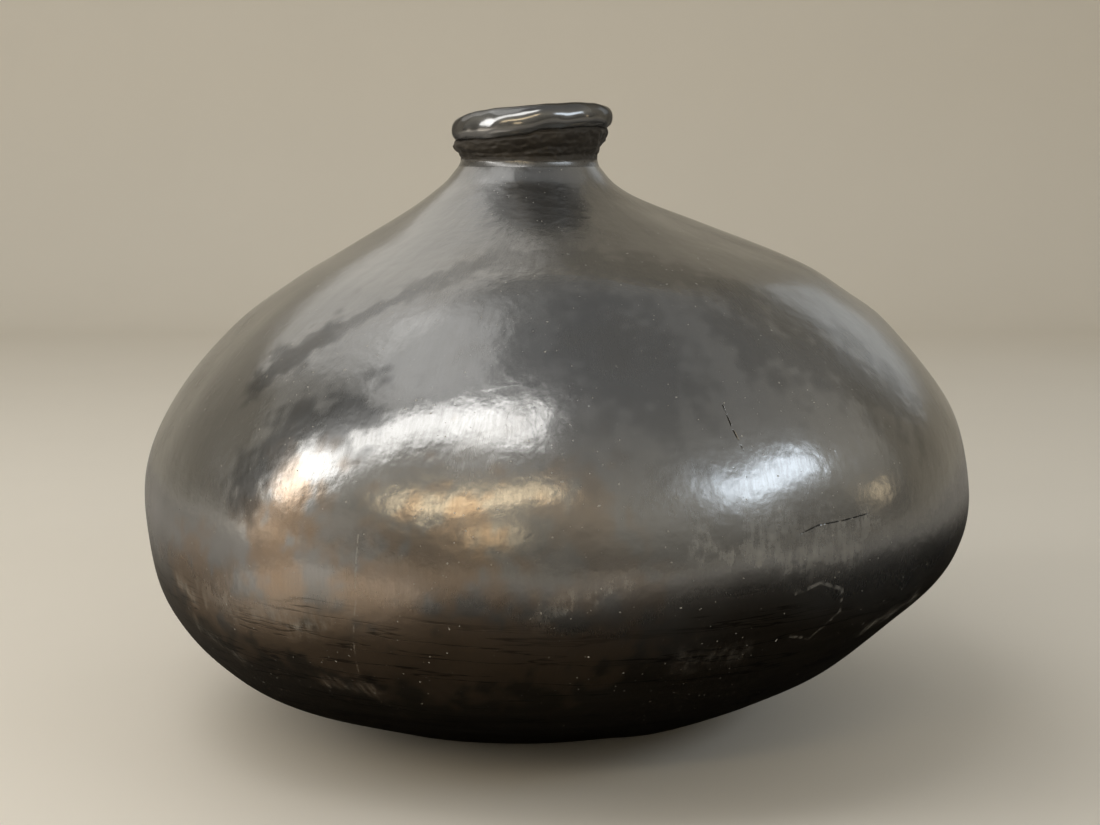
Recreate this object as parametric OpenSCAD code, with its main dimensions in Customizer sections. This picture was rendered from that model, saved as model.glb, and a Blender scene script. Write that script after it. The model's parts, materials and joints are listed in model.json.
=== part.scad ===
// Hand-built jar of burnished black clay: a broad flattened belly on a small flat foot, with a
// short narrow neck under a rolled lip. Every stage of the potter's work is a shell of its own:
// the pat, the bowl raised on it, the belly wall, the shoulder, the neck collar and the lip coil.
// The origin is the centre of the flat foot, +Z is up and the jar faces -Y. The belly leans
// to the right and to the front of its foot, and the neck is set back towards the left.

/* [Belly] */
// Outer radius at the widest ring
belly_r = 125; // [115:1:135]
// Height of the widest ring
belly_z = 73; // [68:0.5:78]
// Distance that the belly leans to the right of the foot
belly_lean_right = 11; // [0:0.5:14]
// Distance that the belly leans to the front of the foot
belly_lean_front = 8; // [0:0.5:12]
// Thickness of the clay wall
wall = 6; // [5:0.5:7]
// How fully the bowl swells out under the widest ring
bowl_fullness = 47.5; // [42:0.5:54]
// How fully the wall rises over the widest ring
wall_fullness = 34; // [30:1:42]

/* [Foot] */
// Radius of the flat face that the jar rests on
foot_r = 31; // [27:1:35]
// How far the flat face runs on before the bowl turns up
foot_spread = 30; // [22:1:34]
// Height of the pat's rim, where the bowl is joined on
foot_rim_z = 9.5; // [8.5:0.5:11]

/* [Shoulder] */
// Outer radius half way up the shoulder
shoulder_r = 79; // [75:1:84]
// Height of that place
shoulder_z = 138.5; // [134:0.5:141]
// Slope of the shoulder there, in degrees from level
shoulder_slope = 32; // [28:1:38]

/* [Neck] */
// Outer radius where the neck meets the shoulder
neck_r = 21.4; // [20.5:0.1:22.5]
// Height where the neck meets the shoulder
neck_foot_z = 170.5; // [168:0.5:173]
// Distance that the neck is set to the left of the belly's centre
neck_set_left = 9.3; // [0:0.1:12]
// Outer radius of the neck under the lip
neck_top_r = 22.6; // [21.5:0.1:23]
// Height of the joint between neck and lip, on the neck's axis
neck_top_z = 179.7; // [179:0.1:182]
// Radius of the straight throat
throat_r = 15.5; // [13:0.5:16]
// Height where the throat starts to open into the lip
throat_top_z = 176; // [174:0.5:176.5]

/* [Lip] */
// Outer radius of the rolled lip
lip_r = 24; // [23.5:0.1:25]
// Radius of the opening at the foot of the lip
lip_mouth_r = 16; // [15.5:0.1:16.5]
// Height of the lip over its joint with the neck
lip_h = 7.4; // [6:0.1:9]
// Tilt of the lip, in degrees, with its left side low
lip_tilt = 4.8; // [0:0.2:6]

/* [Joints] */
// Height of the joint between the bowl and the belly wall
bowl_joint_z = 39; // [34:1:44]
// Height of the joint between the belly wall and the shoulder
shoulder_joint_z = 104; // [98:1:108]
// Rise of a joint from the outer to the inner face of the wall
joint_bevel = 4; // [2:0.5:6]

/* [Smoothness] */
// Flat sides round each leaning shell
sides = 72; // [48:12:96]

/* [Hidden] */

clay_dark = "#1d1a18";
clay_brown = "#2a231e";
clay_black = "#141312";
clay_grey = "#33312f";
clay_rough = "#24201c";
clay_gloss = "#3a3a3c";

$fn = 96;

// heights between which the jar leans away from its foot, and between which the neck is set over
lean_low_z = 15;
lean_high_z = belly_z;
neck_shift_low_z = 138;
neck_shift_high_z = 165;

// handles of the shoulder curve, and the slope of the wall where it meets the neck
shoulder_handle_down = 17;
shoulder_handle_up = 14;
neck_handle = 14;
neck_foot_flare = 30;

// the neck's lower part stands inside the shoulder's opening, with half the wall's thickness
spigot_r = throat_r + wall / 2;
spigot_gap = 0.05;
neck_waist_drop = 0.5;
rings_per_shell = 9;
profile_steps = 14;
lip_steps = 24;
lip_squareness = 2.6;
lip_base_inset = 1.2;
lip_under_angle = -45;
solve_steps = 24;
cut_size = 80;

neck_x = belly_lean_right - neck_set_left;
neck_y = -belly_lean_front;

// profile curves of the outer face as [radius, height] Bezier points, from the foot to the neck
slope_way = [-cos(shoulder_slope), sin(shoulder_slope)];
shoulder_point = [shoulder_r, shoulder_z];
bowl_curve = [
    [foot_r, 0],
    [foot_r + foot_spread, 0],
    [belly_r, belly_z - bowl_fullness],
    [belly_r, belly_z]
];
wall_curve = [
    [belly_r, belly_z],
    [belly_r, belly_z + wall_fullness],
    shoulder_point - shoulder_handle_down * slope_way,
    shoulder_point
];
neck_curve = [
    shoulder_point,
    shoulder_point + shoulder_handle_up * slope_way,
    [neck_r, neck_foot_z] + neck_handle * [sin(neck_foot_flare), -cos(neck_foot_flare)],
    [neck_r, neck_foot_z]
];

// point on a Bezier curve, the way that the curve runs there, and the inner face behind it
function curve_point(c, t) =
    pow(1 - t, 3) * c[0] + 3 * t * pow(1 - t, 2) * c[1] + 3 * t * t * (1 - t) * c[2] + t * t * t * c[3];
function curve_way(c, t) =
    pow(1 - t, 2) * (c[1] - c[0]) + 2 * t * (1 - t) * (c[2] - c[1]) + t * t * (c[3] - c[2]);
function inward(c, t) = let (way = curve_way(c, t)) [-way[1], way[0]] / norm(way);
function inner_point(c, t) = curve_point(c, t) + wall * inward(c, t);

// place on a curve where the face's height, or its radius when along is 0, reaches a value
function outer_place(c, along, value, low = 0, high = 1, steps = solve_steps) =
    let (mid = (low + high) / 2, past = (curve_point(c, mid)[along] > value) == (along == 1))
    steps == 0 ? mid
    : past ? outer_place(c, along, value, low, mid, steps - 1)
    : outer_place(c, along, value, mid, high, steps - 1);
function inner_place(c, along, value, low = 0, high = 1, steps = solve_steps) =
    let (mid = (low + high) / 2, past = (inner_point(c, mid)[along] > value) == (along == 1))
    steps == 0 ? mid
    : past ? inner_place(c, along, value, low, mid, steps - 1)
    : inner_place(c, along, value, mid, high, steps - 1);

// rings of one face of the wall, each as [radius, height, height that sets its lean]
function outer_ring(c, t) = let (p = curve_point(c, t)) [p[0], p[1], p[1]];
function inner_ring(c, t) = let (p = inner_point(c, t)) [p[0], p[1], curve_point(c, t)[1]];
function spaced(from, to, count) = [for (i = [0 : count]) from + (to - from) * i / count];
function outer_rings(c, from, to, count) = [for (t = spaced(from, to, count)) outer_ring(c, t)];
function inner_rings(c, from, to, count) = [for (t = spaced(from, to, count)) inner_ring(c, t)];
function but_first(list) = [for (i = [1 : len(list) - 1]) list[i]];
function reversed(list) = [for (i = [len(list) - 1 : -1 : 0]) list[i]];

// places of the joints on the outer face and, a bevel higher, on the inner one
bowl_joint_out = outer_place(bowl_curve, 1, bowl_joint_z);
bowl_joint_in = inner_place(bowl_curve, 1, bowl_joint_z + joint_bevel);
shoulder_joint_out = outer_place(wall_curve, 1, shoulder_joint_z);
shoulder_joint_in = inner_place(wall_curve, 1, shoulder_joint_z + joint_bevel);
rim_out = outer_place(bowl_curve, 1, foot_rim_z);
rim_in = inner_place(bowl_curve, 1, foot_rim_z);
opening_r = (spigot_r + spigot_gap) / cos(180 / sides);
spigot_in = inner_place(neck_curve, 0, opening_r);
spigot_z = inner_point(neck_curve, spigot_in)[1];

// how far the jar's axis stands from the foot's centre at a height
function eased(t) = let (s = min(max(t, 0), 1)) s * s * (3 - 2 * s);
function lean(z) =
    let (
        body = eased((z - lean_low_z) / (lean_high_z - lean_low_z)),
        neck = eased((z - neck_shift_low_z) / (neck_shift_high_z - neck_shift_low_z))
    )
    [body * belly_lean_right - neck * neck_set_left, -body * belly_lean_front];

// closed shell through a loop of rings, every ring centred on the leaning axis
module leaning_shell(loop) {
    count = len(loop);
    points = [
        for (ring = loop, side = [0 : sides - 1])
            let (axis = lean(ring[2]), angle = 360 * side / sides)
            [axis[0] + ring[0] * cos(angle), axis[1] + ring[0] * sin(angle), ring[1]]
    ];
    faces = [
        for (i = [0 : count - 1], j = [0 : sides - 1])
            let (next_i = (i + 1) % count, next_j = (j + 1) % sides)
            [i * sides + j, next_i * sides + j, next_i * sides + next_j, i * sides + next_j]
    ];
    polyhedron(points, faces, convexity = 6);
}

// shallow dish pressed out of one pat of clay, with the flat face that the jar rests on
module foot_pat() {
    outer = [for (t = spaced(0, rim_out, profile_steps)) curve_point(bowl_curve, t)];
    inner = [for (t = spaced(rim_in, 0, profile_steps)) inner_point(bowl_curve, t)];
    color(clay_black)
        rotate_extrude()
            polygon(concat([[0, 0]], outer, inner, [[0, wall]]));
}

// bowl raised on the pat's rim, leaning out over the foot
module base_bowl() {
    outer = outer_rings(bowl_curve, rim_out, bowl_joint_out, rings_per_shell);
    inner = inner_rings(bowl_curve, rim_in, bowl_joint_in, rings_per_shell);
    color(clay_brown)
        leaning_shell(concat(outer, reversed(inner)));
}

// belly wall, through the widest ring
module belly_wall() {
    half = round(rings_per_shell / 2);
    outer = concat(
        outer_rings(bowl_curve, bowl_joint_out, 1, half),
        but_first(outer_rings(wall_curve, 0, shoulder_joint_out, half))
    );
    inner = concat(
        inner_rings(bowl_curve, bowl_joint_in, 1, half),
        but_first(inner_rings(wall_curve, 0, shoulder_joint_in, half))
    );
    color(clay_dark)
        leaning_shell(concat(outer, reversed(inner)));
}

// shoulder drawn in over the belly, with the round opening that the neck stands in
module shoulder_wall() {
    half = round(rings_per_shell / 2);
    outer = concat(
        outer_rings(wall_curve, shoulder_joint_out, 1, half),
        but_first(outer_rings(neck_curve, 0, 1, rings_per_shell))
    );
    inner = concat(
        inner_rings(wall_curve, shoulder_joint_in, 1, half),
        but_first(inner_rings(neck_curve, 0, spigot_in, half))
    );
    opening = [[opening_r, neck_foot_z, neck_foot_z]];
    color(clay_grey)
        leaning_shell(concat(outer, opening, reversed(inner)));
}

// everything above the tilted joint between neck and lip
module above_lip_joint() {
    translate([0, 0, neck_top_z])
        rotate([0, -lip_tilt, 0])
            translate([0, 0, cut_size / 2])
                cube(cut_size, center = true);
}

// neck coil, let into the shoulder, with the straight throat through it
module neck_collar() {
    flare_z = neck_top_z + neck_top_r * tan(lip_tilt);
    waist = [
        [neck_r, neck_foot_z],
        [neck_r - neck_waist_drop, (2 * neck_foot_z + flare_z) / 3],
        [neck_r + neck_waist_drop, (neck_foot_z + 2 * flare_z) / 3],
        [neck_top_r, flare_z]
    ];
    side = [for (t = spaced(0, 1, profile_steps)) curve_point(waist, t)];
    color(clay_rough)
        translate([neck_x, neck_y, 0])
            difference() {
                rotate_extrude()
                    polygon(concat(
                        [[throat_r, spigot_z], [spigot_r, spigot_z], [spigot_r, neck_foot_z]],
                        side,
                        [[lip_mouth_r, flare_z], [throat_r, throat_top_z]]
                    ));
                above_lip_joint();
            }
}

// rolled coil that finishes the mouth, its section a rounded band standing on the tilted joint
module lip_roll() {
    middle_r = (lip_r + lip_mouth_r) / 2;
    half_w = (lip_r - lip_mouth_r) / 2;
    crown = [
        for (angle = spaced(lip_under_angle, 180, lip_steps))
            let (across = cos(angle), up = sin(angle))
            [
                middle_r + half_w * sign(across) * pow(abs(across), 2 / lip_squareness),
                (lip_h / 2) * (1 + sign(up) * pow(abs(up), 2 / lip_squareness))
            ]
    ];
    color(clay_gloss)
        translate([neck_x, neck_y, neck_top_z])
            rotate([0, -lip_tilt, 0])
                rotate_extrude()
                    polygon(concat([[lip_mouth_r, 0], [lip_r - lip_base_inset, 0]], crown));
}

foot_pat();
base_bowl();
belly_wall();
shoulder_wall();
neck_collar();
lip_roll();
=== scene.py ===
"""Burnished black clay jar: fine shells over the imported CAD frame, its clays and a plain studio."""
import json
import math

import bpy
import numpy as np
from mathutils import Matrix, Vector


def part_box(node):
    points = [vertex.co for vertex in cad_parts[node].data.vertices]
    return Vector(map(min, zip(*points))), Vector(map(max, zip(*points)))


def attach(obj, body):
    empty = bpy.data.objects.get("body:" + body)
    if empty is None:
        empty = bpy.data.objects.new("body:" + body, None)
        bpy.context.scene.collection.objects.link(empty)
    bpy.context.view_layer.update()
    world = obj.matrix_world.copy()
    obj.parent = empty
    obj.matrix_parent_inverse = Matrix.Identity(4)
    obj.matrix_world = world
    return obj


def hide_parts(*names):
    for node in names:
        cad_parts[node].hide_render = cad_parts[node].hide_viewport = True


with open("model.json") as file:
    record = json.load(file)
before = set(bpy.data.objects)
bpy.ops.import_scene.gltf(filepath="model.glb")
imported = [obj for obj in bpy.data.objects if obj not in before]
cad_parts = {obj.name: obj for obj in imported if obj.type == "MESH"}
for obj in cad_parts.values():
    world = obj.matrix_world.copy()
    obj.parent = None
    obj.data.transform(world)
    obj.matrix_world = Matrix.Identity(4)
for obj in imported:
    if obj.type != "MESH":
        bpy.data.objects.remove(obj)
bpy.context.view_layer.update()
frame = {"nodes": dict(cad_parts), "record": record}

MM = 0.001
SNAP = 0.02 * MM
AROUND = 576
OUTER_STEP = 1.1 * MM
INNER_STEP = 5.0 * MM
SHELLS = ("foot_pat", "base_bowl", "belly_wall", "shoulder_wall")


# ---------------------------------------------------------------- reading the frame

def low(node):
    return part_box(node)[0]


def high(node):
    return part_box(node)[1]


BELLY = (low("belly_wall") + high("belly_wall")) / 2
NECK = (low("neck_collar") + high("neck_collar")) / 2
BELLY_R = (high("belly_wall").x - low("belly_wall").x) / 2
MOUTH = frame["record"]["mounts"][1]
NECK.x = MOUTH["pos_m"][0]
NECK_FOOT_Z = high("shoulder_wall").z
NECK_R = 21.4 * MM
NECK_TOP_R = 22.6 * MM
SPIGOT_Z = low("neck_collar").z
FOOT_R = 31 * MM
THROAT_R = MOUTH["dims"]["r_mm"] * MM
WALL = 6 * MM
SPIGOT_R = THROAT_R + WALL / 2
OUTER_JOINTS = [low(node).z for node in SHELLS[1:]]
INNER_JOINTS = [high(node).z for node in SHELLS[:-1]]
BEVELS = list(zip(OUTER_JOINTS, INNER_JOINTS)) + [(NECK_FOOT_Z, NECK_FOOT_Z)]


def cad_rings(facing):
    """Circles of the shells' outer (+1) or inner (-1) face, as rows of height, radius, x, y."""
    found = {}
    for name in SHELLS:
        mesh = frame["nodes"][name].data
        for face in mesh.polygons:
            heights = [mesh.vertices[i].co.z for i in face.vertices]
            if any(a - SNAP < min(heights) and max(heights) < b + SNAP for a, b in BEVELS):
                continue
            away = (Vector(face.center) - BELLY).normalized()
            if face.normal.dot(away) * facing > 0:
                for i in face.vertices:
                    corner = mesh.vertices[i].co
                    found.setdefault(round(corner.z / MM, 1), []).append(corner[:])
    rings = []
    for level in sorted(found):
        points = np.array(found[level])
        lowest, highest = points.min(0), points.max(0)
        x, y = (lowest[:2] + highest[:2]) / 2
        rings.append((points[:, 2].mean(), (highest[0] - lowest[0]) / 2, x, y))
    return np.array(rings)


def smooth_rows(rings, step):
    """Rings at even steps along the profile, on a smooth cubic through the given ones."""
    along = np.concatenate([[0], np.cumsum(np.hypot(*np.diff(rings[:, :2], axis=0).T))])
    slopes = np.gradient(rings, along, axis=0)
    places = np.linspace(0, along[-1], int(along[-1] / step) + 1)
    i = np.clip(np.searchsorted(along, places) - 1, 0, len(along) - 2)
    gap = (along[i + 1] - along[i])[:, None]
    t = (places - along[i])[:, None] / gap
    return (
        (2 * t**3 - 3 * t**2 + 1) * rings[i]
        + (t**3 - 2 * t**2 + t) * gap * slopes[i]
        + (3 * t**2 - 2 * t**3) * rings[i + 1]
        + (t**3 - t**2) * gap * slopes[i + 1]
    )


# ---------------------------------------------------------------- hand work in the surface

def waves(points, wavelength, seed, count=28):
    """Smooth random undulation of about unit height, with no direction of its own."""
    rng = np.random.default_rng(seed)
    ways = rng.normal(size=(count, 3))
    ways /= np.linalg.norm(ways, axis=1)[:, None]
    ways *= 2 * math.pi / (wavelength * rng.uniform(0.75, 1.4, (count, 1)))
    return np.sin(points @ ways.T + rng.uniform(0, 2 * math.pi, count)).sum(-1) * math.sqrt(2 / count)


def eased(value, start, end):
    """0 up to the start, 1 from the end on, with a smooth rise between."""
    t = np.clip((value - start) / (end - start), 0, 1)
    return t * t * (3 - 2 * t)


def turn_from(points, azimuth):
    """Signed angle round the belly from an azimuth, where 0 is the front and 90 the right side."""
    angle = np.arctan2(points[..., 0] - BELLY.x, BELLY.y - points[..., 1]) - math.radians(azimuth)
    return (angle + math.pi) % (2 * math.pi) - math.pi


# Low swells and hollows left by the potter's hands: azimuth and height of the middle, how far
# each reaches across and up or down, and its rise, in degrees and millimetres.
SWELLS = [
    (-70, 128, 45, 20, -0.9),
    (-80, 45, 45, 16, 0.9),
    (-20, 12, 40, 10, -3.4),
    (6, 12, 34, 10, -1.8),
    (-66, 24, 40, 12, 0.9),
    (80, 52, 40, 9, 1.0),
    (-82, 78, 45, 16, 1.0),
    (-90, 136, 25, 7, -0.6),
    (-88, 152, 30, 7, 0.5),
    (95, 155, 30, 8, 0.9),
    (92, 138, 22, 6, -0.7),
    (92, 126, 22, 5, 0.8),
    (76, 75, 40, 20, -0.7),
    (66, 24, 45, 12, 1.5),
    (-40, 100, 34, 22, 0.5),
    (12, 96, 30, 24, -0.5),
    (40, 102, 30, 20, 0.4),
    (150, 90, 60, 30, -0.8),
    (-150, 60, 50, 30, 0.8),
    (170, 130, 40, 20, 0.7),
]


def body_relief(points):
    """How far the outer face stands off the turned shape."""
    relief = 0.25 * MM * waves(points, 60 * MM, 3) + 0.09 * MM * waves(points, 27 * MM, 5)
    for azimuth, height, wide, tall, rise in SWELLS:
        across = turn_from(points, azimuth) * BELLY_R / (wide * MM)
        up = (points[..., 2] - height * MM) / (tall * MM)
        relief += rise * MM * np.exp(-(across**2) - up**2)
    relief *= eased(points[..., 2], 0.3 * MM, 7 * MM)
    return relief * (1 - eased(points[..., 2], 160 * MM, 170 * MM))


# Marks on the fired face, each a soft band along a line of azimuths and heights, with its half
# width and strength: dark patches that are partly smoke smudges and partly painted dark
# reflections, rubbed dusty scuffs, and places where the clay fired brown.
MARKS = {
    "smudge": [
        # The dark line round the shoulder and the dark crescent on the left are painted dark reflections.
        ([(-17, 146), (-29, 140), (-38, 131), (-45, 120)], 2.6, 0.55),
        ([(-42, 125), (-47, 117)], 5.5, 0.9),
        ([(-17, 146), (0, 147), (21, 144), (38, 138), (55, 123)], 3.4, 0.35),
        ([(-26, 110), (-31, 109), (-36, 105), (-39, 98), (-41, 90)], 6.5, 1.0),
        ([(-38, 103), (-42, 94)], 6.0, 0.7),
        ([(30, 128), (44, 120), (54, 108)], 9.0, 0.45),
        ([(4, 130), (14, 118)], 14.0, 0.35),
        ([(120, 110), (150, 118), (175, 108)], 9.0, 0.7),
        ([(-150, 96), (-120, 104)], 11.0, 0.6),
        ([(95, 96), (112, 84)], 7.0, 0.6),
    ],
    "scuff": [
        ([(-57, 58), (-54, 57)], 2.2, 1.0),
        ([(-50, 59), (-41, 58), (-31, 58)], 3.6, 0.55),
        ([(-33, 57), (-30, 58)], 2.0, 0.9),
        ([(-2, 65.5), (2, 69), (7, 74)], 3.0, 0.6),
        ([(16, 82), (19, 78), (23, 80), (27, 76), (31, 77), (36, 76), (39, 82)], 3.4, 0.9),
        ([(22, 84), (34, 82)], 4.5, 0.45),
        ([(45, 51), (50, 52), (56, 54)], 2.2, 0.9),
        ([(-33, 39), (-26, 39)], 3.0, 0.5),
        ([(14, 51), (23, 50)], 3.0, 0.35),
        ([(-56, 46), (-49, 40)], 2.4, 0.6),
        ([(100, 60), (118, 56)], 3.0, 0.8),
        ([(160, 70), (178, 62)], 3.4, 0.7),
        ([(-140, 52), (-118, 60)], 3.2, 0.8),
        ([(-95, 74), (-86, 66)], 3.0, 0.7),
    ],
    "brown": [
        ([(-33, 92), (-36, 78), (-34, 60)], 9.0, 0.9),
        ([(-12, 80), (-22, 68), (-14, 52), (2, 56)], 13.0, 0.7),
        ([(-54, 62), (-30, 50), (-12, 48)], 11.0, 0.75),
        ([(2, 90), (8, 70)], 8.0, 0.4),
        ([(-160, 80), (-130, 60), (-110, 72)], 14.0, 0.6),
        ([(110, 70), (150, 60)], 12.0, 0.5),
    ],
}


def mark_strength(points, kind):
    """Strength from 0 to 1 of one kind of mark at points of the outer face."""
    turn = turn_from(points, 0)
    strength = np.zeros(points.shape[:-1])
    edge = 1 + 0.35 * waves(points, 9 * MM, 41) + 0.2 * waves(points, 4 * MM, 42)
    for line, width, level in MARKS[kind]:
        for (a, low_z), (b, high_z) in zip(line, line[1:]):
            across = (turn - math.radians(a)) * BELLY_R
            up = points[..., 2] - low_z * MM
            way = np.array([math.radians(b - a) * BELLY_R, (high_z - low_z) * MM])
            t = np.clip((across * way[0] + up * way[1]) / (way @ way), 0, 1)
            gap = np.hypot(across - t * way[0], up - t * way[1]) / (width * MM * np.clip(edge, 0.4, 2))
            strength = np.maximum(strength, level * (1 - eased(gap, 0.35, 1.5)))
    return strength


# ---------------------------------------------------------------- rows of points round the jar

ANGLES = np.linspace(0, 2 * math.pi, AROUND, endpoint=False) + math.pi / 2


def circle_rows(rings):
    """Grid of points, one row for each ring of height, radius, x, y."""
    height, radius, x, y = (column[:, None] for column in np.array(rings).T)
    return np.stack(
        [x + radius * np.cos(ANGLES), y + radius * np.sin(ANGLES), height + 0 * ANGLES], axis=-1
    )


def grid_normals(grid):
    """Outward normals of rows that run up the outside of the wall, over the lip and down the inside."""
    along = np.gradient(grid, axis=0)
    across = np.roll(grid, -1, axis=1) - np.roll(grid, 1, axis=1)
    normals = np.cross(across, along)
    return normals / np.maximum(np.linalg.norm(normals, axis=-1, keepdims=True), 1e-12)


def row_at(rings, height):
    """Number of the row that lies nearest to a height."""
    return int(np.argmin(np.abs(rings[:, 0] - height)))


def pin_rows(rings, heights):
    """Moves the nearest rows onto the joints' heights."""
    for height in heights:
        places = [np.interp(height, rings[:, 0], rings[:, column]) for column in range(4)]
        rings[row_at(rings, height)] = places
    return rings


# ---------------------------------------------------------------- neck and lip

LIP_R = (high("lip_roll").x - low("lip_roll").x) / 2 + 0.4 * MM
LIP_SET_RIGHT = 0.9 * MM
LIP_TILT = math.radians(4.8)
LIP_JOINT_Z = high("neck_collar").z - NECK_TOP_R * math.sin(LIP_TILT)
LIP_H = high("lip_roll").z - LIP_JOINT_Z - 0.8 * LIP_R * math.sin(LIP_TILT)


def turned(profile, lift=0.0):
    """Rows round the neck's axis from radius and height, each sheared by its share of the lip's tilt."""
    radius, height = profile[..., :1], profile[..., 1:]
    x, y = radius * np.cos(ANGLES), radius * np.sin(ANGLES)
    share = eased(height, NECK_FOOT_Z, LIP_JOINT_Z)
    set_right = LIP_SET_RIGHT * share * eased(radius, THROAT_R, LIP_R)
    z = height + share * x * math.tan(LIP_TILT) + lift
    return np.stack([NECK.x + x + set_right, NECK.y + y, z], axis=-1)


def lip_edge_wave():
    """Rise and fall of the lip's lower edge, with the step where the coil's two ends overlap."""
    front = np.arctan2(np.cos(ANGLES), -np.sin(ANGLES))
    step = eased(front, -0.02, 0.16) - 0.5 * eased(front, 0.7, 1.6)
    drift = 0.22 * np.sin(3 * front + 0.6) + 0.14 * np.sin(7 * front + 1.1) + 0.08 * np.sin(13 * front)
    back = 0.5 * np.exp(-(((np.abs(front) - 2.4) / 0.5) ** 2))
    return (0.2 + 0.75 * step * (front < 2.8) + drift - back) * MM


def neck_rows():
    """The scraped neck, from the shoulder's rim up to the crease under the lip."""
    t = np.linspace(0, 1, 34)
    crease = 0.30
    drawn_in = 1 - (1 - np.clip(t / crease, 0, 1)) ** 2
    radius = NECK_R / MM - 0.75 * drawn_in + 2.6 * eased(t, crease, 1.0)
    radius -= 0.3 * np.exp(-(((t - crease - 0.03) / 0.05) ** 2))
    radius -= 0.6 * np.exp(-(((t - 1) / 0.06) ** 2))
    profile = np.stack([radius * MM, NECK_FOOT_Z + t * (LIP_JOINT_Z - NECK_FOOT_Z)], axis=-1)
    rows = turned(profile, t[:, None] ** 2 * lip_edge_wave())
    away = np.stack([np.cos(ANGLES), np.sin(ANGLES), 0 * ANGLES], axis=-1)
    fuller = (eased(t, 0.2, 0.7) - 0.4 * eased(t, 0.75, 1.0))[:, None]
    left = eased(-np.cos(ANGLES), 0.3, 1.0) * fuller
    rows = rows + away * (0.8 * MM * left)[..., None]
    rough = 0.16 * waves(rows * [1, 1, 2.2], 6 * MM, 21, 40)
    rough += 0.10 * waves(rows * [1, 1, 2], 2.6 * MM, 22, 60)
    fold = np.exp(-(((t[:, None] - 0.52 - 0.05 * np.sin(4 * ANGLES)) / 0.05) ** 2))
    fold = -0.35 * fold * eased(-np.sin(ANGLES + 0.7), 0.0, 0.6)
    gate = eased(t, 0.12, 0.4)[:, None]
    return rows + away * ((rough + fold) * gate * MM)[..., None]


def lip_rows():
    """The rolled lip, from its lower outer edge over the crown to the throat."""
    angle = np.radians(np.linspace(-55, 184, 70))
    inner = THROAT_R + 0.5 * MM
    middle, half = (LIP_R + inner) / 2, (LIP_R - inner) / 2
    power = 2 / 2.2
    cos, sin = np.cos(angle), np.sin(angle)
    radius = middle + half * np.sign(cos) * np.abs(cos) ** power
    lift = 0.5 + 0.5 * np.sign(sin) * np.abs(sin) ** power
    lift = np.where(cos > 0, (lift - lift[0]) / (1 - lift[0]), lift)
    wave = (1 - lift[:, None]) * (cos[:, None] > 0) * lip_edge_wave()
    crown = (0.35 - 0.85 * np.sin(ANGLES) * (np.sin(ANGLES) < 0) - 0.5 * np.cos(ANGLES) ** 4) * MM
    crown += 0.06 * MM * np.sin(5 * ANGLES)
    profile = np.stack([radius, LIP_JOINT_Z + LIP_H * lift], axis=-1)
    rows = turned(profile, wave + lift[:, None] ** 2 * crown)
    away = grid_normals(rows)
    soft = 0.10 * waves(rows, 11 * MM, 31) + 0.03 * waves(rows, 5 * MM, 32)
    return rows + away * (soft * eased(lift, 0, 0.2)[:, None] * MM)[..., None]


def bore_rows():
    """The throat's wall, from under the lip down to the foot of the collar's spigot."""
    heights = np.linspace(LIP_JOINT_Z + 0.4 * LIP_H, SPIGOT_Z, 9)
    return turned(np.stack([np.full(9, THROAT_R), heights], axis=-1))


# ---------------------------------------------------------------- pieces

def make_piece(node, slot, parts, material, capped=False):
    """One closed mesh from grids of rows round the wall's section; a capped one ends on its axis."""
    grid = np.concatenate([rows for rows, _ in parts])
    points = grid.reshape(-1, 3)
    normals = np.concatenate([given for _, given in parts]).reshape(-1, 3)
    index = np.arange(len(points)).reshape(-1, AROUND)
    above = np.roll(index, -1, axis=0)
    quads = np.stack([index, np.roll(index, -1, 1), np.roll(above, -1, 1), above], -1)
    faces = quads.reshape(-1, 4).tolist()
    if capped:
        faces = faces[:-AROUND]
        for row, upward in ((index[0], False), (index[-1], True)):
            middle, ahead = len(points), np.roll(row, -1)
            points = np.vstack([points, points[row].mean(0)])
            normals = np.vstack([normals, (0, 0, 1 if upward else -1)])
            pair = (row, ahead) if upward else (ahead, row)
            faces += [(middle, int(a), int(b)) for a, b in zip(*pair)]
    mesh = bpy.data.meshes.new("jar_" + node)
    mesh.from_pydata(points.tolist(), [], faces)
    mesh.shade_smooth()
    mesh.normals_split_custom_set_from_vertices(normals.tolist())
    mesh.materials.append(material)
    if slot == "burnished_clay":
        for kind in MARKS:
            values = mark_strength(points, kind).astype(np.float32)
            mesh.attributes.new(kind, "FLOAT", "POINT").data.foreach_set("value", values)
    piece = bpy.data.objects.new("jar_" + node, mesh)
    bpy.context.scene.collection.objects.link(piece)
    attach(piece, "root")
    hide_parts(node)
    return piece


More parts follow.
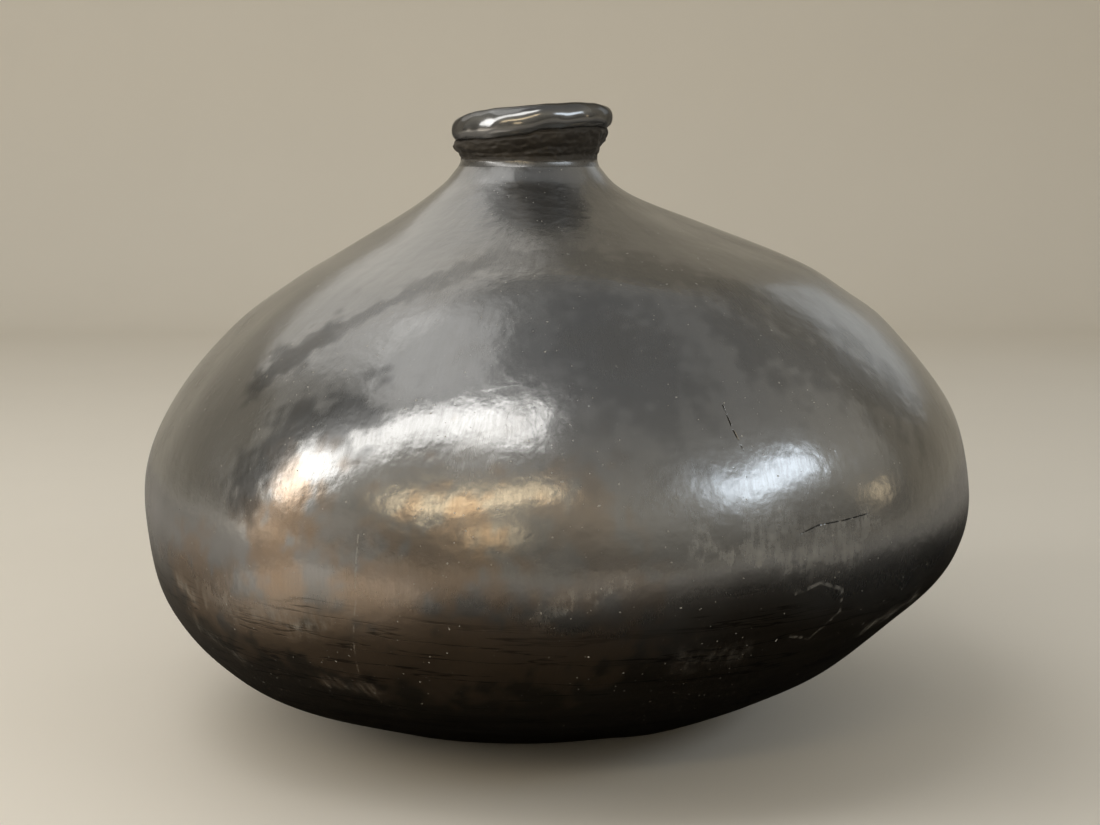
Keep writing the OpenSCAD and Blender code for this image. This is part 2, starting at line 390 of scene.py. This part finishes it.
def build_jar(burnished, scraped, polished):
    """All six pieces, cut from one continuous outer face and one inner face so no seam shows."""
    outer_rings = pin_rows(smooth_rows(cad_rings(1), OUTER_STEP), OUTER_JOINTS)
    inner_rings = pin_rows(smooth_rows(cad_rings(-1)[:-1], INNER_STEP), INNER_JOINTS)
    foot = circle_rows([(0, share * FOOT_R, 0, 0) for share in (0.25, 0.5, 0.75, 0.9, 1.0)])
    body = circle_rows(outer_rings)
    body += grid_normals(body) * body_relief(body)[..., None]
    body[-1] = turned(np.array([[NECK_R, NECK_FOOT_Z]]))[0]
    neck, lip, bore = neck_rows(), lip_rows(), bore_rows()
    inner = circle_rows(inner_rings)[::-1]
    face = np.concatenate([foot, body, neck[1:], lip, bore, inner])
    normals = grid_normals(face)
    starts = np.cumsum([0, len(foot), len(body), len(neck) - 1, len(lip), len(bore), len(inner)])

    def span(first, last):
        return face[first:last + 1], normals[first:last + 1]

    outer_cuts = [0] + [starts[1] + row_at(outer_rings, z) for z in OUTER_JOINTS] + [starts[2] - 1]
    end = starts[6] - 1
    inner_cuts = [end] + [end - row_at(inner_rings, z) for z in INNER_JOINTS] + [starts[5]]
    seat = circle_rows([(z, SPIGOT_R, NECK.x, NECK.y) for z in (NECK_FOOT_Z, SPIGOT_Z)])
    seat_normals = grid_normals(seat)
    for i, node in enumerate(SHELLS):
        parts = [span(outer_cuts[i], outer_cuts[i + 1]), span(inner_cuts[i + 1], inner_cuts[i])]
        if node == SHELLS[-1]:
            parts.insert(1, (seat, seat_normals))
        make_piece(node, "burnished_clay", parts, burnished, capped=i == 0)
    collar = [span(starts[2] - 1, starts[3] - 1), span(starts[4] - 1, starts[5] - 1)]
    collar.append((seat[::-1], -seat_normals[::-1]))
    make_piece("neck_collar", "unburnished_clay", collar, scraped)
    make_piece("lip_roll", "polished_lip_clay", [span(starts[3] - 1, starts[4] - 1)], polished)


# ---------------------------------------------------------------- node helpers

class Nodes:
    """Short spellings for the few kinds of shader node that the clays use."""

    def __init__(self, name):
        self.material = bpy.data.materials.new(name)
        self.material.use_nodes = True
        self.tree = self.material.node_tree
        self.shader = self.tree.nodes["Principled BSDF"]
        self.place = self.add("ShaderNodeTexCoord").outputs["Object"]

    def add(self, kind, **settings):
        node = self.tree.nodes.new(kind)
        for key, value in settings.items():
            setattr(node, key, value)
        return node

    def feed(self, socket, value):
        if isinstance(value, bpy.types.NodeSocket):
            self.tree.links.new(value, socket)
        else:
            socket.default_value = value

    def math(self, operation, a, b=0.0, c=0.0):
        node = self.add("ShaderNodeMath", operation=operation)
        for socket, value in zip(node.inputs, (a, b, c)):
            self.feed(socket, value)
        return node.outputs[0]

    def vector(self, operation, a, b=(0, 0, 0), scale=1.0):
        node = self.add("ShaderNodeVectorMath", operation=operation)
        self.feed(node.inputs[0], a)
        if operation == "SCALE":
            self.feed(node.inputs[3], scale)
        elif operation != "NORMALIZE":
            self.feed(node.inputs[1], b)
        return node.outputs[1 if operation in ("DISTANCE", "DOT_PRODUCT") else 0]

    def ramp(self, value, start, end, first=0.0, last=1.0):
        node = self.add("ShaderNodeMapRange", interpolation_type="SMOOTHSTEP")
        for socket, entry in zip(node.inputs, (value, start, end, first, last)):
            self.feed(socket, entry)
        return node.outputs[0]

    def noise(self, size_mm, detail=3.0, rough=0.55, at=None, seed=0.0):
        """Noise from 0 to 1 with features of about the given size."""
        node = self.add("ShaderNodeTexNoise")
        moved = self.vector("ADD", self.place if at is None else at, (seed, 1.7 * seed, 0.6 * seed))
        self.feed(node.inputs["Vector"], moved)
        node.inputs["Scale"].default_value = 1 / (2 * size_mm * MM)
        node.inputs["Detail"].default_value = detail
        node.inputs["Roughness"].default_value = rough
        return node.outputs[0]

    def noise_colour(self, size_mm):
        """Three noises at once, to bend another pattern's coordinates with."""
        node = self.add("ShaderNodeTexNoise")
        self.feed(node.inputs["Vector"], self.place)
        node.inputs["Scale"].default_value = 1 / (2 * size_mm * MM)
        return node.outputs[1]

    def mix(self, factor, a, b):
        node = self.add("ShaderNodeMix", data_type="RGBA")
        for socket, value in zip((node.inputs[0], node.inputs[6], node.inputs[7]), (factor, a, b)):
            self.feed(socket, value)
        return node.outputs[2]

    def bump(self, height, depth_mm, under=None):
        node = self.add("ShaderNodeBump")
        node.inputs["Distance"].default_value = depth_mm * MM
        self.feed(node.inputs["Height"], height)
        if under is not None:
            self.feed(node.inputs["Normal"], under)
        return node.outputs[0]

    def attribute(self, name):
        return self.add("ShaderNodeAttribute", attribute_name=name).outputs["Fac"]

    def split(self, value):
        node = self.add("ShaderNodeSeparateXYZ")
        self.feed(node.inputs[0], value)
        return node.outputs


FIRED_BROWN = (0.36, 0.26, 0.175, 1)
DUST = (0.36, 0.35, 0.32, 1)


def grey(level, warm=0.0):
    """Near-neutral colour, turned towards brown by a positive warmth."""
    return (level * (1 + 0.5 * warm), level, level * (1 - 0.6 * warm), 1)


# ---------------------------------------------------------------- clays

def stroke_place(n, across_mm, along_mm):
    """Coordinates that stretch noise up and down the wall, and close round the jar with no seam."""
    flat = n.vector("MULTIPLY", n.vector("SUBTRACT", n.place, (BELLY.x, BELLY.y, 0)), (1, 1, 0))
    across = n.vector("SCALE", n.vector("NORMALIZE", flat), scale=BELLY_R)
    rise = n.vector("MULTIPLY", n.place, (0, 0, across_mm / along_mm))
    turned_away = n.add("ShaderNodeVectorRotate", rotation_type="EULER_XYZ")
    turned_away.inputs["Rotation"].default_value = (0.7, 0.45, 0.9)
    n.feed(turned_away.inputs["Vector"], n.vector("ADD", across, rise))
    return turned_away.outputs[0]


def unrolled(n):
    """Distance round the belly from the front, and height, as a flat pair for thin drawn lines."""
    x, y, z = n.split(n.vector("SUBTRACT", n.place, (BELLY.x, BELLY.y, 0)))
    turn = n.math("ARCTAN2", x, n.math("MULTIPLY", y, -1.0))
    flat = n.add("ShaderNodeCombineXYZ")
    n.feed(flat.inputs[0], n.math("MULTIPLY", turn, BELLY_R))
    n.feed(flat.inputs[1], z)
    return flat.outputs[0]


def thin_line(n, flat, start, end, half_mm):
    """1 on a thin line between two places given as azimuth and height, 0 away from it."""
    a = Vector((math.radians(start[0]) * BELLY_R, start[1] * MM, 0))
    way = Vector((math.radians(end[0]) * BELLY_R, end[1] * MM, 0)) - a
    from_a = n.vector("SUBTRACT", flat, a)
    share = n.vector("DOT_PRODUCT", from_a, way / way.length_squared)
    share = n.math("MINIMUM", n.math("MAXIMUM", share, 0.0), 1.0)
    gap = n.vector("DISTANCE", from_a, n.vector("SCALE", way, scale=share))
    return n.ramp(gap, 0.3 * half_mm * MM, half_mm * MM, 1.0, 0.0)


def drawn_lines(n, flat, line, half_mm):
    """1 along a line of several places, 0 away from it."""
    parts = [thin_line(n, flat, a, b, half_mm) for a, b in zip(line, line[1:])]
    found = parts[0]
    for part in parts[1:]:
        found = n.math("MAXIMUM", found, part)
    return found


# Thin dark cuts and pale rubbed lines: azimuths and heights along each, and its half width.
CUTS = [
    ([(21.6, 113), (21.9, 108), (22.6, 103)], 0.32),
    ([(28, 82), (31, 83.6), (35, 83.8), (39, 84.4)], 0.2),
]
RUBS = [
    ([(-23.6, 83), (-24, 66), (-26.5, 45)], 0.32),
    ([(28, 67), (31.5, 69), (35, 66), (36, 59), (33, 52), (29.5, 54)], 0.7),
]


def strokes_of(n):
    """Fine up and down marks of the burnishing stone, bent a little so that they don't line up."""
    bend = n.vector("SUBTRACT", n.noise_colour(5.0), (0.5, 0.5, 0.5))
    bend = n.vector("SCALE", bend, scale=3 * MM)
    return n.noise(0.35, 5, 0.75, n.vector("ADD", stroke_place(n, 0.35, 5.5), bend))


def wipe_lines(n, upper, blotch):
    """Long thin level lines left by wiping the low part of the wall, fading out upwards."""
    wander = n.noise(2.6, 4, 0.55, n.vector("MULTIPLY", n.place, (0.07, 0.07, 1)), 12.4)
    lines = n.ramp(n.math("ABSOLUTE", n.math("SUBTRACT", wander, 0.5)), 0.0, 0.022, 1.0, 0.0)
    reach = n.math("ADD", upper, n.math("MULTIPLY", blotch, 0.8))
    return n.math("MULTIPLY", lines, n.ramp(reach, 0.4, 1.1, 1.0, 0.0))


def scratches(n):
    """The thin dark cuts and the pale rubbed lines, each broken up by noise."""
    flat = unrolled(n)
    cuts, rubs = (
        n.math("MAXIMUM", *(drawn_lines(n, flat, line, half) for line, half in lines))
        for lines in (CUTS, RUBS)
    )
    cut = n.math("MULTIPLY", cuts, n.ramp(n.noise(1.4, 2), 0.40, 0.52))
    rub = n.math("MULTIPLY", rubs, n.ramp(n.noise(1.2, 3, 0.6, seed=8.8), 0.4, 0.6))
    return cut, rub


def white_dust(n, scuff, rub):
    """Where pale dust lies: in the scuffs, as loose specks, and along the rubbed lines."""
    grazes = n.noise(0.7, 5, 0.7, stroke_place(n, 0.7, 3.2), 9.1)
    grazes = n.math("ADD", grazes, n.noise(1.5, 6, 0.75, seed=19.6))
    dust = n.math("MULTIPLY", scuff, n.ramp(grazes, 0.80, 1.42))
    specks = n.ramp(n.noise(0.45, 1, 0.4, seed=4.4), 0.755, 0.80)
    white = n.math("MAXIMUM", n.math("MULTIPLY", dust, 0.8), specks)
    return n.math("MAXIMUM", white, n.math("MULTIPLY", rub, 0.35))


def burnished_clay():
    """Semi-metallic black clay, smoother and paler above, rougher and browner below."""
    n = Nodes("burnished_clay")
    height = n.split(n.place)[2]
    cloud = n.noise(26, 3, 0.5)
    upper = n.ramp(n.math("ADD", height, n.math("MULTIPLY", cloud, 40 * MM)), 72 * MM, 98 * MM)
    blotch = n.noise(14, 4, 0.6, seed=7.3)
    broad = n.noise(4.5, 2, 0.5, stroke_place(n, 4.5, 45), 3.1)
    bands = n.noise(1.2, 4, 0.6, n.vector("MULTIPLY", n.place, (0.06, 0.06, 1)), 5.2)
    strokes = strokes_of(n)
    seams = wipe_lines(n, upper, blotch)
    smudge, scuff, brown = (n.attribute(kind) for kind in ("smudge", "scuff", "brown"))
    cut, rub = scratches(n)
    white = white_dust(n, scuff, rub)

    shine_up = n.mix(broad, grey(0.29, -0.02), grey(0.36, -0.02))
    shine_low = n.mix(bands, grey(0.06, 0.35), grey(0.15, 0.40))
    colour = n.mix(upper, shine_low, shine_up)
    brownness = n.math("MULTIPLY", brown, n.ramp(blotch, 0.2, 0.7, 0.5, 1.0))
    colour = n.mix(brownness, colour, FIRED_BROWN)
    colour = n.mix(n.ramp(strokes, 0.35, 0.75, 0.0, 0.14), colour, grey(0.16, 0.2))
    # Painted dark reflections, partly smoke smudges: the clay darkens towards near black along these
    # marks.
    colour = n.mix(n.math("MULTIPLY", smudge, 0.8), colour, grey(0.08, -0.05))
    colour = n.mix(n.ramp(blotch, 0.5, 0.75, 0.0, 0.3), colour, grey(0.14, 0.2))
    colour = n.mix(n.math("MULTIPLY", seams, 0.65), colour, grey(0.02, 0.3))
    colour = n.mix(white, colour, DUST)
    colour = n.mix(n.math("MULTIPLY", cut, 0.9), colour, grey(0.01))
    n.feed(n.shader.inputs["Base Color"], colour)

    rough = n.ramp(upper, 0, 1, 0.34, 0.21)
    rough = n.math("ADD", rough, n.ramp(strokes, 0.3, 0.8, -0.01, 0.05))
    rough = n.math("ADD", rough, n.ramp(blotch, 0.35, 0.7, -0.02, 0.05))
    rough = n.math("ADD", rough, n.math("MULTIPLY", white, 0.30))
    n.feed(n.shader.inputs["Roughness"], n.math("ADD", rough, n.math("MULTIPLY", smudge, 0.06)))
    n.feed(n.shader.inputs["Metallic"], n.math("SUBTRACT", 0.94, n.math("MULTIPLY", white, 0.8)))

    peel = n.noise(1.9, 2, 0.45, seed=15.2)
    pits = n.ramp(n.noise(0.7, 2, 0.5, seed=6.6), 0.70, 0.82, 1.0, 0.0)
    low_bands = n.math("MULTIPLY", bands, n.ramp(upper, 0, 1, 1.0, 0.1))
    normal = n.bump(broad, 0.008)
    normal = n.bump(peel, 0.12, normal)
    normal = n.bump(strokes, 0.002, normal)
    normal = n.bump(n.math("MULTIPLY", seams, -1.0), 0.03, normal)
    normal = n.bump(low_bands, 0.06, normal)
    normal = n.bump(pits, 0.025, normal)
    normal = n.bump(n.math("MULTIPLY", cut, -1.0), 0.15, normal)
    fine = n.noise(0.5, 3, 0.6, seed=2.2)
    n.feed(n.shader.inputs["Normal"], n.bump(fine, 0.01, normal))
    return n.material


def scraped_clay():
    """Unburnished clay of the neck, with the burnish of the shoulder running up onto its foot."""
    n = Nodes("unburnished_clay")
    height = n.split(n.place)[2]
    grain = n.noise(0.6, 4, 0.65)
    drag = n.noise(1.6, 4, 0.6, n.vector("MULTIPLY", n.place, (0.35, 0.35, 1.4)), 1.3)
    edge = n.math("ADD", height, n.math("MULTIPLY", drag, 1.6 * MM))
    bare = n.ramp(edge, NECK_FOOT_Z + 2.3 * MM, NECK_FOOT_Z + 3.1 * MM)
    raw = n.mix(drag, (0.010, 0.008, 0.006, 1), (0.055, 0.045, 0.033, 1))
    # Pale band just under the bare neck: partly worn clay, partly a painted highlight along the fillet at
    # the neck's foot.
    crease = n.ramp(height, NECK_FOOT_Z + 1.4 * MM, NECK_FOOT_Z + 2.2 * MM)
    rubbed = n.math("MULTIPLY", crease, n.ramp(drag, 0.4, 0.6))
    foot_wear_and_highlight = n.mix(rubbed, grey(0.17, 0.0), grey(0.32, 0.1))
    n.feed(n.shader.inputs["Base Color"], n.mix(bare, foot_wear_and_highlight, raw))
    rough = n.math("ADD", n.ramp(bare, 0, 1, 0.24, 0.55), n.ramp(grain, 0, 1, -0.03, 0.12))
    n.feed(n.shader.inputs["Roughness"], rough)
    n.feed(n.shader.inputs["Metallic"], n.ramp(bare, 0, 1, 0.94, 0.1))
    grain, drag = n.math("MULTIPLY", grain, bare), n.math("MULTIPLY", drag, bare)
    n.feed(n.shader.inputs["Normal"], n.bump(grain, 0.08, n.bump(drag, 0.30)))
    return n.material


def polished_clay():
    """Glossy clay of the lip, with faint drag marks round it."""
    n = Nodes("polished_lip_clay")
    cloud = n.noise(5, 3, 0.5)
    drag = n.noise(0.9, 3, 0.6, n.vector("MULTIPLY", n.place, (0.15, 0.15, 1.0)), 2.1)
    n.feed(n.shader.inputs["Base Color"], n.mix(cloud, grey(0.15, 0.0), grey(0.34, -0.02)))
    n.shader.inputs["Specular Tint"].default_value = (0.25, 0.25, 0.25, 1)
    rough = n.math("ADD", n.ramp(drag, 0.3, 0.7, 0.11, 0.16), n.ramp(cloud, 0.3, 0.7, 0, 0.05))
    n.feed(n.shader.inputs["Roughness"], rough)
    n.feed(n.shader.inputs["Metallic"], n.ramp(cloud, 0.0, 1.0, 0.88, 0.95))
    n.feed(n.shader.inputs["Normal"], n.bump(drag, 0.02, n.bump(cloud, 0.14)))
    return n.material


# ---------------------------------------------------------------- studio

def plain_paint(name, colour, roughness):
    n = Nodes(name)
    darker = tuple(0.97 * part for part in colour)
    n.feed(n.shader.inputs["Base Color"], n.mix(n.noise(60, 4), (*colour, 1), (*darker, 1)))
    n.shader.inputs["Roughness"].default_value = roughness
    n.shader.inputs["Specular IOR Level"].default_value = 0.2
    return n.material


def add_sweep():
    """Pale floor that curves up into the backdrop behind the jar."""
    depth, top, bend, wide = 1.3, 2.2, 0.25, 5.0
    line = [(-4.0, 0.0)]
    for a in np.radians(np.linspace(0, 90, 25)):
        line.append((depth - bend + bend * math.sin(a), bend - bend * math.cos(a)))
    line.append((depth, top))
    points = [(x, y, z) for y, z in line for x in (-wide, wide)]
    faces = [(2 * i, 2 * i + 1, 2 * i + 3, 2 * i + 2) for i in range(len(line) - 1)]
    mesh = bpy.data.meshes.new("studio_sweep")
    mesh.from_pydata(points, [], faces)
    mesh.shade_smooth()
    mesh.materials.append(plain_paint("studio_sweep", (0.88, 0.84, 0.765), 0.9))
    sweep = bpy.data.objects.new("studio_sweep", mesh)
    bpy.context.scene.collection.objects.link(sweep)


def add_flag():
    """Card under the jar, black to pale outwards, that shows in reflections and nowhere else: its black
    middle is a painted dark reflection for the jar's low wall, its pale patch a painted warm reflection
    low on the left.
    """
    n = Nodes("studio_flag")
    fade = n.ramp(n.vector("DISTANCE", n.place, (0.10, 0.02, 0)), 0.15, 0.50, 0.006, 0.48)
    glow = n.ramp(n.vector("DISTANCE", n.place, (-0.24, -0.19, 0)), 0.08, 0.19, 0.95, 0.0)
    n.feed(n.shader.inputs["Base Color"], n.mix(n.math("MAXIMUM", fade, glow), grey(0.0), grey(1.0, 0.1)))
    n.shader.inputs["Roughness"].default_value = 0.95
    n.shader.inputs["Specular IOR Level"].default_value = 0.1
    corners, radius, lift = 96, 0.85, 0.5 * MM
    turns = np.linspace(0, 2 * math.pi, corners, endpoint=False)
    rim = [(radius * math.cos(a), radius * math.sin(a), lift) for a in turns]
    mesh = bpy.data.meshes.new("studio_flag")
    mesh.from_pydata(rim, [], [tuple(range(corners))])
    mesh.materials.append(n.material)
    flag = bpy.data.objects.new("studio_flag", mesh)
    flag.visible_camera = flag.visible_diffuse = flag.visible_shadow = False
    bpy.context.scene.collection.objects.link(flag)


def toward(azimuth, elevation, distance):
    """A point seen from the belly at an azimuth (0 front, 90 right) and an elevation, in degrees."""
    a, e = math.radians(azimuth), math.radians(elevation)
    way = Vector((math.sin(a) * math.cos(e), -math.cos(a) * math.cos(e), math.sin(e)))
    return BELLY + way * distance


def softbox(name, start, end, width, radiance, colour):
    """Area light from start to end, turned to face the jar, of even brightness over its face."""
    data = bpy.data.lights.new(name, "AREA")
    data.shape = "RECTANGLE"
    data.size, data.size_y = (end - start).length, width
    data.energy, data.color = radiance * math.pi * data.size * width, colour
    light = bpy.data.objects.new(name, data)
    light.location = (start + end) / 2
    across = (end - start).normalized()
    back = light.location - BELLY
    back = (back - across * back.dot(across)).normalized()
    axes = Matrix((across, back.cross(across), back)).transposed()
    light.rotation_mode = "QUATERNION"
    light.rotation_quaternion = axes.to_quaternion()
    light.visible_camera = False
    bpy.context.scene.collection.objects.link(light)


def add_lights():
    """Long softboxes for the highlights, small warm ones low down, and cards that fill the sides."""
    white, cool, warm, clay = (1.0, 0.98, 0.94), (0.80, 0.90, 1.0), (1.0, 0.78, 0.48), (1.0, 0.86, 0.70)
    softbox("strip_left", toward(-80, 9, 1.9), toward(-66, 32, 0.95), 0.24, 5.0, white)
    softbox("strip_middle", toward(-66, 32, 0.95), toward(-34, 56, 0.75), 0.19, 3.2, white)
    softbox("strip_top", toward(-34, 56, 0.75), toward(-6, 59, 0.75), 0.17, 4.0, white)
    softbox("window_right", toward(38, 27, 1.0), toward(74, 28, 1.0), 0.19, 3.4, cool)
    softbox("lamp_warm_high", toward(-40, 19, 1.0), toward(2, 33, 1.0), 0.09, 3.6, warm)
    softbox("lamp_warm_low", toward(-24, 11, 1.0), toward(-9, 12, 1.0), 0.09, 2.4, warm)
    softbox("lamp_warm_right", toward(83, 9, 1.0), toward(89, 9, 1.0), 0.10, 1.6, warm)
    softbox("card_left", toward(-87, 3, 0.7), toward(-74, 3, 0.7), 0.16, 0.8, clay)
    softbox("card_left_front", toward(-74, 4, 0.8), toward(-44, 6, 0.8), 0.16, 0.35, clay)
    softbox("card_left_back", toward(-168, 42, 1.0), toward(-112, 44, 1.0), 0.55, 0.65, white)
    softbox("card_ceiling", toward(-135, 66, 0.9), toward(-62, 62, 0.9), 0.36, 0.75, white)
    softbox("card_right_back", toward(122, 24, 1.0), toward(150, 26, 1.0), 0.42, 0.42, cool)


def add_world():
    """Dim even room, a little warmer and brighter just over the horizon than below it or overhead."""
    world = bpy.data.worlds.new("studio_room")
    world.use_nodes = True
    tree = world.node_tree
    place = tree.nodes.new("ShaderNodeTexCoord")
    split = tree.nodes.new("ShaderNodeSeparateXYZ")
    ramp = tree.nodes.new("ShaderNodeValToRGB")
    tree.links.new(place.outputs["Generated"], split.inputs[0])
    tree.links.new(split.outputs["Z"], ramp.inputs[0])
    ramp.color_ramp.elements[0].color = (0.13, 0.12, 0.10, 1)
    ramp.color_ramp.elements[1].color = (0.24, 0.24, 0.235, 1)
    ramp.color_ramp.elements.new(0.42).color = (0.50, 0.46, 0.38, 1)
    tree.links.new(ramp.outputs[0], tree.nodes["Background"].inputs["Color"])
    tree.nodes["Background"].inputs["Strength"].default_value = 1.0
    bpy.context.scene.world = world


def add_camera():
    """Eye level with the jar's neck, looking down a little at the belly."""
    data = bpy.data.cameras.new("camera")
    data.lens, data.sensor_width = 54, 36
    camera = bpy.data.objects.new("camera", data)
    camera.location = (BELLY.x - 2.9 * MM, BELLY.y - 506.3 * MM, 176.9 * MM)
    camera.rotation_euler = (math.radians(90 - 9.21), 0, 0)
    bpy.context.scene.collection.objects.link(camera)
    bpy.context.scene.camera = camera


# ---------------------------------------------------------------- the jar and its studio

build_jar(burnished_clay(), scraped_clay(), polished_clay())
add_sweep()
add_flag()
add_world()
add_lights()
add_camera()
bpy.context.scene.view_settings.view_transform = "Standard"
